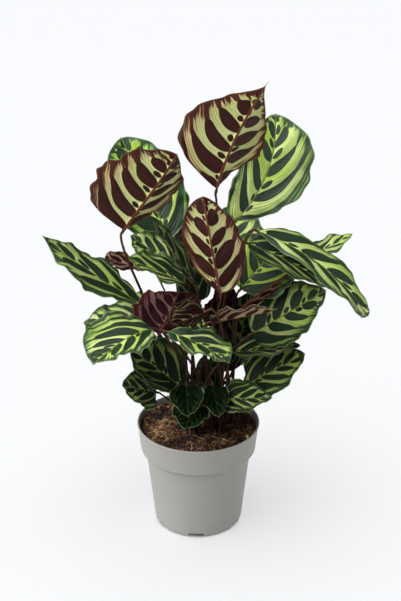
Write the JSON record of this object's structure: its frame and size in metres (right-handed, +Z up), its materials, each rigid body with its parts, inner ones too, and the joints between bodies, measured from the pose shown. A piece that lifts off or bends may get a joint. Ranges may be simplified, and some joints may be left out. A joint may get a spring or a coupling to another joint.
{
  "type": "potted calathea",
  "caption": "Bushy calathea with oval patterned leaves on thin stalks, growing in a filled nursery pot.",
  "frame": {"origin": "centre of the pot's foot, on the surface it stands on", "axes": "+Z up along the pot's axis, -Y toward the side the picture shows, +X to the right in the picture"},
  "size_m": [0.3503, 0.2335, 0.5173],
  "materials": {
    "pot_plastic": "matte warm grey moulded plastic",
    "soil_fibre": "loose brown coir and peat",
    "stalk": "smooth reddish brown",
    "blade": "satin leaf, pale green with dark green blotches above, maroon below"
  },
  "bodies": {
    "root": {"pot": "pot_plastic", "soil": "soil_fibre", "crown_a": "stalk", "crown_b": "stalk", "crown_c": "stalk", "crown_d": "stalk", "crown_e": "stalk", "crown_f": "stalk", "crown_g": "stalk", "blade_01": "blade", "blade_02": "blade", "blade_03": "blade", "blade_04": "blade", "blade_05": "blade", "blade_06": "blade", "blade_07": "blade", "blade_08": "blade", "blade_09": "blade", "blade_10": "blade", "blade_11": "blade", "blade_12": "blade", "blade_13": "blade", "blade_14": "blade", "blade_15": "blade", "blade_16": "blade", "blade_17": "blade", "blade_18": "blade", "blade_19": "blade", "blade_20": "blade", "blade_21": "blade", "blade_22": "blade", "blade_23": "blade", "blade_24": "blade", "blade_25": "blade", "blade_26": "blade", "blade_27": "blade", "blade_28": "blade", "blade_29": "blade", "blade_30": "blade", "blade_31": "blade", "blade_32": "blade", "blade_33": "blade", "blade_34": "blade", "blade_35": "blade", "blade_36": "blade", "blade_37": "blade", "blade_38": "blade", "blade_39": "blade", "blade_40": "blade", "blade_41": "blade"}
  },
  "joints": []
}
